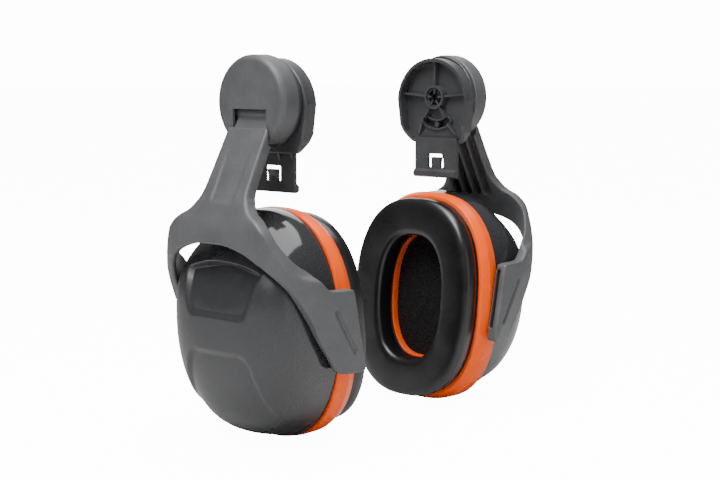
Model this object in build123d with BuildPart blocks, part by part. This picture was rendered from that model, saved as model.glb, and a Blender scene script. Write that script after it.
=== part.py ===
"""A pair of ear defenders that clip into the slots of a work helmet.

Units are millimetres. X runs across the helmet (the right cup is at +X), Y runs
fore and aft, and Z is up. The origin is midway between the cups, level with
their lowest points. Every piece is modelled for the right cup and mirrored
about the YZ plane for the left one.
"""

import os
from math import copysign, cos, pi, radians, sin, tan

from build123d import *

os.makedirs("parts", exist_ok=True)

# ---------- driving dimensions ----------

# Heights of the two centres everything hangs from
hub_z = 163.1  # swivel axis
cup_z = 56.8  # middle of the ear opening

# Helmet adapter: a shallow pan with a blade that slides into the helmet's slot
rim_x = 57.8  # open rim of the pan, which faces the helmet
pan_back_x = 65.3
pan_half_width = 23.7
pan_top = 20.8  # above the swivel axis
pan_bottom = 24.6  # below the swivel axis
pan_foot_half_width = 17.1
pan_wall = 1.8
pan_floor = 2.0
blade_half_width = 14.3
blade_tip = 43.3  # below the swivel axis
blade_x = 61.6  # inner face of the blade
blade_thickness = 1.8
hub_ring_radius = 6.4
slot_radius = 14.6  # arc slot that limits the swivel
slot_half_width = 1.9
swivel_limit = 30.0  # degrees each way

# Swivel: a back plate and a cap that turn together on the pivot screw
disc_radius = 22.5
base_x = 65.6
cap_x = 67.9
cap_front_x = 78.9
cap_wall = 1.6
window_half_width = 11.15
window_top = 3.3  # below the swivel axis
screw_radius = 2.0

# Arm hinge, inside the cap
hinge_x = 72.9
hinge_drop = 5.0  # below the swivel axis
pin_radius = 1.5
pin_half_length = 15.4
barrel_radius = 4.0
running_gap = 0.05  # radial, shaft in hole
body_gap = 0.3  # between pieces that move past each other

# Yoke arm
stem_slope = 27.9  # degrees outward from vertical
stem_face_offset = 3.05  # from the hinge axis to the outer face
stem_depth = 6.3
neck_half_width = window_half_width - body_gap
stem_half_width = 14.3
yoke_half_width = 49.5
yoke_nose_x = 106.5
yoke_root_x = 60.0  # where the sides of the yoke turn straight
yoke_power = 3.0
yoke_thickness = 6.3
skin = 2.2  # thin walls of the arm

# Pads at the ends of the yoke, with the channels the cup slides in
pad_top = 85.9  # below the swivel axis
pad_tip = 126.4
channel_lean = 0.25  # outward per unit of height
channel_inner_y = 43.9
channel_outer_y = 46.0
shoe_thickness = 1.5
shoe_half_width = 4.4
shoe_half_length = 6.0
travel_down, travel_up = 5.0, 3.0
trunnion_x = 65.5
trunnion_radius = 2.0

# Cup: shell, seal ring and cushion
ring_power = 2.365
ring_inner_x = 49.4  # edge nearest the head
ring_outer_x = 62.0
ring_inner_lean = 0.094
ring_outer_lean = 0.017
ring_half_y, ring_half_z = 42.3, 55.8
ring_face_half_y, ring_face_half_z = 40.3, 53.9
ring_drop = 1.0  # the outer edge sits lower than the inner edge
ear_half_y, ear_half_z = 20.5, 33.0
dome_depth = 40.4
dome_half_y, dome_half_z = 41.3, 55.2
dome_power = 3.69
dome_top_power = 2.1
dome_rise = 0.186  # upward drift of the dome's sections, per unit of depth
shell_wall = 2.6
cushion_x = 38.7  # front of the cushion
cushion_half_y, cushion_half_z = 39.3, 52.8

outline_points = 40


def below(depth):
    """Height of a point a given depth below the swivel axis."""
    return hub_z - depth


def lean_plane(x, lean, height=cup_z):
    """Plane facing outward through (x, 0, height) that leans outward as it rises."""
    return Plane(origin=(x, 0, height), x_dir=(0, 1, 0), z_dir=(1, 0, -lean))


def oval(plane, half_y, half_z, power=ring_power, lift=0.0, power_at=None):
    """Superellipse face on a plane, raised by lift.

    power_at gives the radius factor as a function of the polar angle's sine.
    """
    points = []
    for i in range(outline_points):
        angle = 2 * pi * i / outline_points
        c, s = cos(angle), sin(angle)
        scale = power_at(s) if power_at else 1.0
        points.append((
            scale * half_y * copysign(abs(c) ** (2 / power), c),
            lift + scale * half_z * copysign(abs(s) ** (2 / power), s),
        ))
    with BuildSketch(plane) as face:
        with BuildLine():
            Spline(points, periodic=True)
        make_face()
    return face.sketch


def dome_sections(inset, stop=0.975):
    """Sections of the cup's dome, made smaller all round by inset."""
    depth = dome_depth - inset
    sections = []
    for share in (0.0, 0.2, 0.4, 0.58, 0.72, 0.84, 0.93, stop):
        def shrink(sine, share=share):
            # the crown of the dome rounds off earlier than its sides and bottom
            blend = min(max((sine - 0.1) / 0.8, 0.0), 1.0)
            blend = blend * blend * (3 - 2 * blend)
            power = dome_power + (dome_top_power - dome_power) * blend
            return (1 - share ** power) ** (1 / power)

        rise = dome_rise * share * depth
        lean = ring_outer_lean * (1 - share)
        plane = lean_plane(ring_outer_x + share * depth, lean, cup_z - ring_drop)
        sections.append(
            oval(plane, dome_half_y - inset, dome_half_z - inset, 2.25, rise, shrink)
        )
    return sections


def save(piece, name):
    """Write a piece of the right cup and its mirror image for the left cup."""
    piece.part.label = "right_" + name
    export_step(piece.part, f"parts/right_{name}.step")
    with BuildPart() as twin:
        mirror(piece.part, about=Plane.YZ)
    twin.part.label = "left_" + name
    export_step(twin.part, f"parts/left_{name}.step")


# ---------- helmet adapter ----------

pan_depth = pan_back_x - rim_x
corner_z = below(19.0)

with BuildSketch(Plane.YZ.offset(rim_x)) as pan_outline:
    with BuildLine():
        ThreePointArc(
            (pan_half_width, below(1)), (0, hub_z + pan_top), (-pan_half_width, below(1))
        )
        Polyline(
            (-pan_half_width, below(1)),
            (-21.3, corner_z),
            (-pan_foot_half_width, below(pan_bottom)),
            (pan_foot_half_width, below(pan_bottom)),
            (21.3, corner_z),
            (pan_half_width, below(1)),
        )
    make_face()
    corners = pan_outline.vertices().group_by(Axis.Y)
    fillet(corners[0] + corners[1], radius=4.5)

with BuildSketch(Plane.YZ.offset(rim_x)) as arc_slot:
    with Locations((0, hub_z)):
        Circle(slot_radius + slot_half_width)
        Circle(slot_radius - slot_half_width, mode=Mode.SUBTRACT)
    spread = 30 * tan(radians(swivel_limit))
    with BuildLine():
        Polyline((0, hub_z), (spread, below(30)), (-spread, below(30)), close=True)
    make_face(mode=Mode.INTERSECT)
    with Locations((0, hub_z)):
        with PolarLocations(slot_radius, 2, 270 - swivel_limit, 2 * swivel_limit, endpoint=True):
            Circle(slot_half_width)

with BuildPart() as pan_block:
    extrude(pan_outline.sketch, amount=pan_depth)
    back_edges = pan_block.edges().filter_by(Plane.YZ).group_by(Axis.X)[-1]
    fillet(back_edges, radius=1.0)
    # the foot of the rim slants back to let the blade out
    with BuildSketch(Plane.XZ.offset(-30)):
        with BuildLine():
            Polyline(
                (rim_x - 1, below(15)),
                (rim_x, below(15)),
                (pan_back_x - 2.5, below(pan_bottom)),
                (pan_back_x - 2.5, below(pan_bottom + 1)),
                (rim_x - 1, below(pan_bottom + 1)),
                close=True,
            )
        make_face()
    extrude(amount=60, mode=Mode.SUBTRACT)

with BuildPart() as pan_ribs:
    # five ribs run out from the hub, set back from the rim
    with BuildSketch(Plane.YZ.offset(rim_x + 2.4)):
        for angle in (90, 5, 175, 238, 302):
            with Locations(Location((0, hub_z), angle)):
                Rectangle(30, 1.1, align=(Align.MIN, Align.CENTER))
    extrude(amount=pan_depth - pan_floor - 2.2)
    add(pan_block.part.moved(Location((2.4, 0, 0))), mode=Mode.INTERSECT)
    add(pan_block.part, mode=Mode.INTERSECT)

with BuildPart() as helmet_adapter:
    add(pan_block.part)
    with BuildSketch(Plane.YZ.offset(rim_x)):
        offset(pan_outline.sketch_local, amount=-pan_wall)
    extrude(amount=pan_depth - pan_floor, mode=Mode.SUBTRACT)
    add(pan_ribs.part)
    # hub: two nested rings round the pivot hole
    with BuildSketch(Plane.YZ.offset(rim_x + 1.7)):
        with Locations((0, hub_z)):
            Circle(hub_ring_radius)
            Circle(hub_ring_radius - 1.2, mode=Mode.SUBTRACT)
    extrude(amount=pan_depth - pan_floor - 1.7)
    with BuildSketch(Plane.YZ.offset(rim_x + 2.9)):
        with Locations((0, hub_z)):
            Circle(hub_ring_radius - 1.2)
    extrude(amount=pan_depth - pan_floor - 2.9)
    with BuildSketch(Plane.YZ.offset(rim_x + 2.9)):
        with Locations((0, hub_z)):
            Circle(4.2)
    extrude(amount=2.2, mode=Mode.SUBTRACT)
    with BuildSketch(Plane.YZ.offset(rim_x)):
        with Locations((0, hub_z)):
            Circle(screw_radius + running_gap)
    extrude(amount=pan_depth, mode=Mode.SUBTRACT)
    # arc slot for the stop pin, with a raised lip round it
    with BuildSketch(Plane.YZ.offset(pan_back_x - pan_floor - 1.2)):
        offset(arc_slot.sketch_local, amount=1.0)
    extrude(amount=1.2)
    extrude(arc_slot.sketch, amount=pan_depth, mode=Mode.SUBTRACT)
    # blade, with a ridge across its tip and two ribs at its root
    blade_top = below(pan_bottom - 3)
    with BuildSketch(Plane.YZ.offset(blade_x)):
        with Locations((0, below(blade_tip))):
            Rectangle(
                2 * blade_half_width,
                blade_top - below(blade_tip),
                align=(Align.CENTER, Align.MIN),
            )
    extrude(amount=blade_thickness)
    with BuildSketch(Plane.XZ.offset(-blade_half_width)):
        with BuildLine():
            Polyline(
                (blade_x, below(blade_tip)),
                (blade_x - 1.7, below(blade_tip - 0.8)),
                (blade_x - 1.7, below(blade_tip - 3.2)),
                (blade_x, below(blade_tip - 4.6)),
                close=True,
            )
        make_face()
    extrude(amount=2 * blade_half_width)
    for y in (-13.2, -4.6, 4.6, 13.2):
        with BuildSketch(Plane.XZ.offset(-y - 0.6)):
            with BuildLine():
                Polyline(
                    (pan_back_x - 0.6, below(pan_bottom - 0.4)),
                    (blade_x + blade_thickness, below(pan_bottom - 0.4)),
                    (blade_x + blade_thickness, below(pan_bottom + 3.2)),
                    close=True,
                )
            make_face()
        extrude(amount=1.2)
    # snap tongue: a U-shaped cut leaves it rooted at the bottom
    with BuildSketch(Plane.YZ.offset(blade_x - 1)):
        with Locations((0, below(34.2))):
            RectangleRounded(10.8, 7.4, 0.6)
        with Locations((0, below(37.9))):
            Rectangle(5.8, 5.6, align=(Align.CENTER, Align.MIN), mode=Mode.SUBTRACT)
    extrude(amount=blade_thickness + 2, mode=Mode.SUBTRACT)
    with BuildSketch(Plane.XZ.offset(-2.9)):
        with BuildLine():
            Polyline(
                (blade_x + blade_thickness, below(32.3)),
                (blade_x + blade_thickness + 0.9, below(32.3)),
                (blade_x + blade_thickness, below(35.5)),
                close=True,
            )
        make_face()
    extrude(amount=5.8)

save(helmet_adapter, "helmet_adapter")

# ---------- swivel ----------

hinge_z = below(hinge_drop)

lug_width = pin_half_length - neck_half_width - body_gap
with BuildSketch(Plane.XZ.offset(-pin_half_length)) as lug_side:
    with BuildLine():
        Polyline((hinge_x, hinge_z + 3.6), (cap_x, hinge_z + 3.6), (cap_x, hinge_z - 3.6))
        Line((cap_x, hinge_z - 3.6), (hinge_x, hinge_z - 3.6))
        ThreePointArc(
            (hinge_x, hinge_z - 3.6), (hinge_x + 3.6, hinge_z), (hinge_x, hinge_z + 3.6)
        )
    make_face()

with BuildPart() as swivel_base:
    with BuildSketch(Plane.YZ.offset(base_x)):
        with Locations((0, hub_z)):
            Circle(disc_radius - 0.6)
    extrude(amount=cap_x - base_x)
    fillet(swivel_base.edges().group_by(Axis.X)[0], radius=0.5)
    # locating rim that the cap snaps over, open where the arm comes out
    with BuildSketch(Plane.YZ.offset(cap_x)):
        with Locations((0, hub_z)):
            Circle(disc_radius - cap_wall - 0.05)
            Circle(disc_radius - cap_wall - 1.4, mode=Mode.SUBTRACT)
        with Locations((0, below(14))):
            Rectangle(2 * stem_half_width + 4, 28, mode=Mode.SUBTRACT)
    extrude(amount=2.4)
    with BuildSketch(Plane.YZ.offset(base_x - 1)):
        with Locations((0, hub_z)):
            Circle(screw_radius - 0.2)
    extrude(amount=cap_x - base_x + 1, mode=Mode.SUBTRACT)
    # lugs that hold the ends of the hinge pin
    extrude(lug_side.sketch, amount=lug_width)
    far_lug = Location((0, lug_width - 2 * pin_half_length, 0))
    extrude(lug_side.sketch.moved(far_lug), amount=lug_width)
    with BuildSketch(Plane.XZ.offset(-pin_half_length)):
        with Locations((hinge_x, hinge_z)):
            Circle(pin_radius)
    extrude(amount=2 * pin_half_length, mode=Mode.SUBTRACT)
    # post that holds the upper end of the leaf spring
    with BuildSketch(Plane.XZ.offset(-5)):
        with Locations((cap_x + 1.6, hub_z + 14.5)):
            Rectangle(3.2, 4.0)
    extrude(amount=10)
    with BuildSketch(Plane.XZ.offset(-4.05)):
        with Locations((cap_x + 1.3, hub_z + 13.0)):
            Rectangle(0.5, 5.2)
    extrude(amount=8.1, mode=Mode.SUBTRACT)
    # stop pin that runs in the adapter's arc slot
    with BuildSketch(Plane.YZ.offset(base_x - 3.2)):
        with Locations((0, below(slot_radius))):
            Circle(slot_half_width - 0.4)
    extrude(amount=3.2)

save(swivel_base, "swivel_base")

with BuildPart() as swivel_cap:
    with BuildSketch(Plane.YZ.offset(cap_x)):
        with Locations((0, hub_z)):
            Circle(disc_radius)
    extrude(amount=cap_front_x - cap_x)
    fillet(swivel_cap.edges().group_by(Axis.X)[-1], radius=3.0)
    chamfer(swivel_cap.edges().group_by(Axis.X)[0], length=0.5)
    with BuildSketch(Plane.YZ.offset(cap_x)):
        with Locations((0, hub_z)):
            Circle(disc_radius - cap_wall)
    extrude(amount=cap_front_x - cap_x - cap_wall, mode=Mode.SUBTRACT)
    with BuildSketch(Plane.YZ.offset(cap_x - 1)):
        with Locations((0, below(window_top))):
            Rectangle(2 * window_half_width, 30, align=(Align.CENTER, Align.MAX))
    extrude(amount=cap_front_x - cap_x + 2, mode=Mode.SUBTRACT)

save(swivel_cap, "swivel_cap")

with BuildPart() as pivot_screw:
    head_x = rim_x + 3.1
    with BuildSketch(Plane.YZ.offset(head_x)):
        with Locations((0, hub_z)):
            Circle(3.4)
    extrude(amount=1.4)
    fillet(pivot_screw.edges().group_by(Axis.X)[0], radius=0.6)
    with BuildSketch(Plane.YZ.offset(head_x)):
        with Locations((0, hub_z)):
            RegularPolygon(1.5, 6)
    extrude(amount=1.1, mode=Mode.SUBTRACT)
    with BuildSketch(Plane.YZ.offset(head_x + 1.4)):
        with Locations((0, hub_z)):
            Circle(screw_radius)
    extrude(amount=base_x - head_x - 1.4)
    with BuildSketch(Plane.YZ.offset(base_x)):
        with Locations((0, hub_z)):
            Circle(screw_radius - 0.2)
    extrude(amount=cap_x - base_x - 0.1)

save(pivot_screw, "pivot_screw")

with BuildPart() as pivot_washer:
    with BuildSketch(Plane.YZ.offset(rim_x + 4.5)):
        with Locations((0, hub_z)):
            Circle(4.0)
            Circle(screw_radius + 0.02, mode=Mode.SUBTRACT)
    extrude(amount=0.5)

save(pivot_washer, "pivot_washer")

with BuildPart() as hinge_pin:
    with BuildSketch(Plane.XZ.offset(-pin_half_length)):
        with Locations((hinge_x, hinge_z)):
            Circle(pin_radius)
    extrude(amount=2 * pin_half_length)
    chamfer(hinge_pin.edges().filter_by(GeomType.CIRCLE), length=0.3)

save(hinge_pin, "hinge_pin")

with BuildPart() as leaf_spring:
    # a steel strip from the post down behind the barrel, bowed a little outward
    with BuildSketch(Plane.XZ.offset(-4)):
        with BuildLine() as strip_line:
            Line((cap_x + 1.3, hub_z + 15.4), (cap_x + 1.3, hub_z + 10.0))
            Spline(
                (cap_x + 1.3, hub_z + 10.0),
                (cap_x + 0.62, hub_z + 4.0),
                (cap_x + 0.45, hub_z - 5.0),
                (cap_x + 0.7, hub_z - 13.0),
                tangents=[(0, -1), (0.1, -1)],
            )
        trace(line_width=0.4)
    extrude(amount=8)

save(leaf_spring, "leaf_spring")

# ---------- yoke arm ----------

stem_dir = (sin(radians(stem_slope)), -cos(radians(stem_slope)))
stem_out = (cos(radians(stem_slope)), sin(radians(stem_slope)))


def on_stem(out, along):
    """Point (x, z) a distance out from the hinge axis and along the stem from it."""
    return (
        hinge_x + out * stem_out[0] + along * stem_dir[0],
        hinge_z + out * stem_out[1] + along * stem_dir[1],
    )


def stem_plane(out):
    """Plane parallel to the stem's outer face, with Y to the right and up the stem."""
    x, z = on_stem(out, 0)
    return Plane(origin=(x, 0, z), x_dir=(0, 1, 0), z_dir=(stem_out[0], 0, stem_out[1]))


def plan_outline(nose_x, half_width, power):
    """Half of a superellipse in plan, closed off with straight sides towards the head."""
    reach = nose_x - yoke_root_x
    points = []
    for i in range(25):
        angle = pi / 2 - pi * i / 24
        c, s = max(cos(angle), 0.0), sin(angle)
        points.append((
            yoke_root_x + reach * c ** (2 / power),
            half_width * copysign(abs(s) ** (2 / power), s),
        ))
    with BuildSketch(Plane.XY.offset(below(pad_tip + 8))) as plan:
        with BuildLine():
            Spline(points, tangents=[(1, 0), (-1, 0)])
            Polyline(points[-1], (40, -half_width), (40, half_width), points[0])
        make_face()
    return plan.sketch


# outer face of the stem, in side view, down to where it turns vertical
face_top = on_stem(stem_face_offset, 3.0)
face_bend = (102.6, below(54.6))
face_foot = (yoke_nose_x, below(68.5))
inner_top = on_stem(stem_face_offset - stem_depth, 3.0)
inner_bend = on_stem(stem_face_offset - stem_depth, 49.0)

with BuildSketch(Plane.XZ) as stem_side:
    with BuildLine():
        Line(face_top, face_bend)
        TangentArc(face_bend, face_foot, tangent=stem_dir)
        Polyline(
            face_foot,
            (yoke_nose_x, below(76)),
            (102.6, below(76)),
            (101.6, below(66)),
            inner_bend,
            inner_top,
            face_top,
        )
    make_face()

# the whole arm seen from the front: shoulders, sides and the arch over the cup
with BuildSketch(Plane.YZ.offset(45)) as front_view:
    with BuildLine():
        Line((-13.2, below(0)), (13.2, below(0)))
        Spline(
            (13.2, below(0)),
            (13.9, below(24)),
            (14.6, below(40)),
            (20.5, below(50.2)),
            (32.6, below(56.8)),
            (39.0, below(66.2)),
            tangents=[(0.02, -1), (0.53, -0.85)],
        )
        Polyline((39.0, below(66.2)), (51.5, below(86.2)), (51.5, below(130)), (42.0, below(130)))
        Spline(
            (42.0, below(130)),
            (38.6, below(88)),
            (34.6, below(78.5)),
            (29.0, below(72.0)),
            (21.5, below(67.6)),
            (0, below(65.0)),
            (-21.5, below(67.6)),
            (-29.0, below(72.0)),
            (-34.6, below(78.5)),
            (-38.6, below(88)),
            (-42.0, below(130)),
            tangents=[(-0.02, 1), (-0.02, -1)],
        )
        Polyline((-42.0, below(130)), (-51.5, below(130)), (-51.5, below(86.2)), (-39.0, below(66.2)))
        Spline(
            (-39.0, below(66.2)),
            (-32.6, below(56.8)),
            (-20.5, below(50.2)),
            (-14.6, below(40)),
            (-13.9, below(24)),
            (-13.2, below(0)),
            tangents=[(0.53, 0.85), (0.02, 1)],
        )
    make_face()

# the arms and pads seen from the side
with BuildSketch(Plane.XZ.offset(-60)) as side_view:
    with BuildLine():
        Polyline(
            (60.0, below(86.8)),
            (75.0, below(pad_top)),
            (77.6, below(76)),
            (84, below(48)),
            (99.2, below(48)),
            face_bend,
        )
        TangentArc(face_bend, face_foot, tangent=stem_dir)
        Polyline(
            face_foot,
            (101.1, below(75.6)),
            (91.0, below(88.8)),
            (71.4, below(120.2)),
            (66.5, below(pad_tip)),
            (51.2, below(pad_tip)),
            (60.0, below(86.8)),
        )
    make_face()
    for corner, radius in (
        ((60.0, below(86.8)), 4.0),
        ((66.5, below(pad_tip)), 5.0),
        ((51.2, below(pad_tip)), 2.0),
        ((71.4, below(120.2)), 5.0),
    ):
        fillet(side_view.vertices().sort_by_distance(corner)[0], radius=radius)

with BuildPart() as yoke_block:
    extrude(plan_outline(yoke_nose_x, yoke_half_width, yoke_power), amount=140)

with BuildPart() as yoke_sides:
    extrude(plan_outline(yoke_nose_x, yoke_half_width, yoke_power), amount=140)
    extrude(plan_outline(102.6, 43.2, 3.3), amount=140, mode=Mode.SUBTRACT)
    extrude(side_view.sketch, amount=120, mode=Mode.INTERSECT)

with BuildPart() as cap_sweep:
    with BuildSketch(Plane.YZ.offset(60)):
        with Locations((0, hub_z)):
            Circle(disc_radius + 1.5)
    extrude(amount=cap_front_x + 0.6 - 60)

with BuildPart() as yoke_arm:
    extrude(stem_side.sketch, amount=40, both=True)
    add(yoke_block.part, mode=Mode.INTERSECT)
    add(yoke_sides.part)
    extrude(front_view.sketch, amount=70, mode=Mode.INTERSECT)
    # the shoulders stop clear of the cap
    add(cap_sweep.part, mode=Mode.SUBTRACT)
    # neck and hinge barrel, which pass through the cap's window
    with BuildSketch(Plane.XZ.offset(-neck_half_width)):
        with BuildLine():
            Polyline(
                on_stem(stem_face_offset, -1.0),
                on_stem(stem_face_offset, 24.0),
                on_stem(stem_face_offset - stem_depth, 24.0),
                on_stem(stem_face_offset - stem_depth, -1.0),
                close=True,
            )
        make_face()
    extrude(amount=2 * neck_half_width)
    with BuildSketch(Plane.XZ.offset(-neck_half_width)):
        with Locations((hinge_x, hinge_z)):
            Circle(barrel_radius)
        # nose that rides on the leaf spring as the arm swings out
        with Locations(Location((hinge_x, hinge_z), 135)):
            Rectangle(4.7, 3.0, align=(Align.MIN, Align.CENTER))
    extrude(amount=2 * neck_half_width)
    with BuildSketch(Plane.XZ.offset(-20)):
        with Locations((hinge_x, hinge_z)):
            Circle(pin_radius + running_gap)
    extrude(amount=40, mode=Mode.SUBTRACT)
    # four channels down the inner side of the stem leave three ribs
    with BuildSketch(stem_plane(stem_face_offset - stem_depth - 1)):
        for y in (-10.1, -3.4, 3.4, 10.1):
            with Locations((y, -33.0)):
                SlotOverall(40, 5.3, rotation=90)
    extrude(amount=stem_depth - skin + 1, mode=Mode.SUBTRACT)
    # raised pegs above the arch, on the inner side
    with BuildSketch(stem_plane(stem_face_offset - stem_depth + 0.2)):
        for y in (-13.8, -4.6, 4.6, 13.8):
            with Locations((y, -58.0)):
                Circle(1.7)
    extrude(amount=4.0)
    # shallow panel down the outer face
    with BuildSketch(stem_plane(stem_face_offset)) as panel:
        with BuildLine():
            Polyline(
                (-9.4, -9), (9.4, -9), (9.0, -40), (5.6, -44.5), (-5.6, -44.5), (-9.0, -40),
                close=True,
            )
        make_face()
        fillet(panel.vertices(), radius=1.2)
    extrude(amount=-0.4, mode=Mode.SUBTRACT)
    # each pad is bevelled outboard of a fold that runs down to its tip
    fold_top, fold_foot = (78.0, below(85.7)), (51.2, below(126.2))
    run_x, run_z = fold_foot[0] - fold_top[0], fold_foot[1] - fold_top[1]
    run = (run_x ** 2 + run_z ** 2) ** 0.5
    bevel = 0.32
    for hand in (-1, 1):
        bevel_plane = Plane(
            origin=(fold_top[0], hand * yoke_half_width, fold_top[1]),
            z_dir=(-bevel * run_z / run, hand, bevel * run_x / run),
        )
        split(bisect_by=bevel_plane, keep=Keep.BOTTOM)

lean_angle = 14.04  # of the channel, from vertical


def channel_plane(y):
    """Plane at y seen from the -Y side, with its vertical axis along the channel."""
    return Plane(
        origin=(trunnion_x, y, cup_z),
        x_dir=(cos(radians(lean_angle)), 0, -sin(radians(lean_angle))),
        z_dir=(0, -1, 0),
    )


travel = travel_up + travel_down
travel_mid = (travel_up - travel_down) / 2
track_half_length = shoe_half_length + travel / 2 + body_gap
track_half_width = shoe_half_width + body_gap

with BuildPart() as channel:
    # track of the shoe, with a wide mouth on the side that faces the head
    with BuildSketch(channel_plane(-channel_inner_y)):
        with Locations((0, travel_mid)):
            Rectangle(2 * track_half_width, 2 * track_half_length)
        with Locations((-track_half_width - 9.5, -0.5)):
            Rectangle(19, 32)
    extrude(amount=channel_outer_y - channel_inner_y)
    # bead that keeps the shoe in
    with BuildSketch(channel_plane(-channel_outer_y + 0.9)):
        with Locations((-track_half_width - 0.9, 0)):
            Rectangle(1.3, 40)
    extrude(amount=0.9, mode=Mode.SUBTRACT)
    # slot in the inner wall for the cup's trunnion
    with BuildSketch(channel_plane(-channel_inner_y + 3)):
        with Locations((0, travel_mid)):
            SlotOverall(
                travel + 2 * (trunnion_radius + body_gap),
                2 * (trunnion_radius + body_gap),
                rotation=90,
            )
    extrude(amount=3)

with BuildPart() as grip_groove:
    # ribbed groove along the fold
    fold_mid = ((71.5 + 58.3) / 2, below((96.0 + 116.6) / 2))
    groove_plane = Plane(
        origin=(fold_mid[0], -yoke_half_width - 0.5, fold_mid[1]),
        x_dir=(-run_x / run, 0, -run_z / run),
        z_dir=(0, 1, 0),
    )
    with BuildSketch(groove_plane):
        SlotOverall(24.5, 1.8)
        with GridLocations(1.9, 1, 12, 1):
            Rectangle(0.6, 3, mode=Mode.SUBTRACT)
    extrude(amount=1.5)

with BuildPart(mode=Mode.PRIVATE) as pad_cuts:
    add(channel.part)
    add(grip_groove.part)
    mirror(about=Plane.XZ)

with BuildPart() as finished_arm:
    add(yoke_arm.part)
    add(pad_cuts.part, mode=Mode.SUBTRACT)

save(finished_arm, "yoke_arm")

# ---------- slide shoes ----------

with BuildPart() as rear_shoe:
    with BuildSketch(channel_plane(-channel_inner_y - body_gap)) as shoe_face:
        Rectangle(2 * shoe_half_width, 2 * shoe_half_length)
        fillet(shoe_face.vertices(), radius=1.5)
        Circle(trunnion_radius + running_gap, mode=Mode.SUBTRACT)
    extrude(amount=shoe_thickness)

with BuildPart() as front_shoe:
    mirror(rear_shoe.part, about=Plane.XZ)

save(rear_shoe, "slide_shoe_rear")
save(front_shoe, "slide_shoe_front")

# ---------- cup shell ----------

with BuildPart() as dome:
    loft(sections=dome_sections(0.0))

with BuildPart() as dome_cavity:
    loft(sections=dome_sections(shell_wall))

# finger pocket in the upper half of the dome's face
pocket_z = below(87)
pocket_plane = Plane(origin=(94.8, 0, pocket_z), x_dir=(0, 1, 0), z_dir=(1, 0, -0.14))
with BuildSketch(pocket_plane) as pocket_outline:
    with BuildLine():
        Polyline((-20.5, -14.5), (20.5, -14.5), (25.5, 15), (-25.5, 15), close=True)
    make_face()
    fillet(pocket_outline.vertices().group_by(Axis.Y)[0], radius=7)
    fillet(pocket_outline.vertices().group_by(Axis.Y)[-1], radius=4)

with BuildPart() as pocket_back:
    with BuildSketch(pocket_plane.offset(-shell_wall)):
        offset(pocket_outline.sketch_local, amount=shell_wall)
    extrude(amount=12)
    add(dome.part, mode=Mode.INTERSECT)

with BuildPart() as cup_shell:
    add(dome.part)
    add(dome_cavity.part, mode=Mode.SUBTRACT)
    add(pocket_back.part)
    extrude(pocket_outline.sketch, amount=20, mode=Mode.SUBTRACT)
    # spigot that plugs into the seal ring
    base_plane = lean_plane(ring_outer_x, ring_outer_lean, cup_z - ring_drop)
    spigot_plane = lean_plane(ring_inner_x + 4.8, ring_inner_lean)
    loft(sections=[oval(spigot_plane, 39.6, 53.0), oval(base_plane, 39.6, 53.0, 2.3)])
    loft(
        sections=[oval(spigot_plane, 37.8, 51.2), oval(base_plane, 37.8, 51.2, 2.3)],
        mode=Mode.SUBTRACT,
    )
    # trunnions on both sides
    for hand in (-1, 1):
        side = Plane(origin=(trunnion_x, hand * 39.4, cup_z), z_dir=(0, hand, 0))
        with BuildSketch(side):
            Circle(3.1)
        extrude(amount=channel_inner_y - 0.7 - body_gap - 39.4)
        with BuildSketch(side):
            Circle(trunnion_radius)
        extrude(amount=channel_inner_y + body_gap + shoe_thickness - 39.4)

save(cup_shell, "cup_shell")

# ---------- seal ring ----------


def ring_section(share, grow):
    """Oval between the ring's inner edge (share 0) and its outer edge (share 1)."""
    x = ring_inner_x + share * (ring_outer_x - ring_inner_x)
    lean = ring_inner_lean + share * (ring_outer_lean - ring_inner_lean)
    half_y = ring_face_half_y + share * (ring_half_y - ring_face_half_y)
    half_z = ring_face_half_z + share * (ring_half_z - ring_face_half_z)
    plane = lean_plane(x, lean, cup_z - share * ring_drop)
    return oval(plane, half_y + grow, half_z + grow)


with BuildPart() as seal_ring:
    loft(sections=[ring_section(0.0, 0.0), ring_section(0.16, 1.1)], ruled=True)
    loft(sections=[ring_section(0.16, 1.1), ring_section(0.88, 0.2)], ruled=True)
    loft(sections=[ring_section(0.88, 0.2), ring_section(1.0, -0.5)], ruled=True)
    # recess for the cushion plate, then the pocket for the shell's spigot
    recess = lean_plane(ring_inner_x - 2.0, ring_inner_lean)
    extrude(oval(recess, 38.1, 51.7), amount=3.45, mode=Mode.SUBTRACT)
    loft(
        sections=[
            oval(lean_plane(ring_inner_x + 4.4, ring_inner_lean), 39.75, 53.15),
            oval(lean_plane(ring_outer_x + 1, ring_outer_lean, cup_z - ring_drop), 39.75, 53.15, 2.3),
        ],
        mode=Mode.SUBTRACT,
    )
    # lip round the ear opening
    lip = lean_plane(ring_inner_x + 1.4, ring_inner_lean)
    extrude(oval(lip, ear_half_y + 1.4, ear_half_z + 1.4), amount=4.6)
    extrude(oval(recess, ear_half_y, ear_half_z), amount=12, mode=Mode.SUBTRACT)

save(seal_ring, "seal_ring")

# ---------- ear cushion: backing plate, cover and core ----------

plate_plane = lean_plane(ring_inner_x, ring_inner_lean)
with BuildPart() as cushion_plate:
    extrude(oval(plate_plane, 37.9, 51.5), amount=1.4)
    extrude(oval(plate_plane, ear_half_y + 0.6, ear_half_z + 0.6), amount=1.4, mode=Mode.SUBTRACT)

save(cushion_plate, "cushion_plate")

cushion_depth = ring_inner_x - 0.1 - cushion_x


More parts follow.
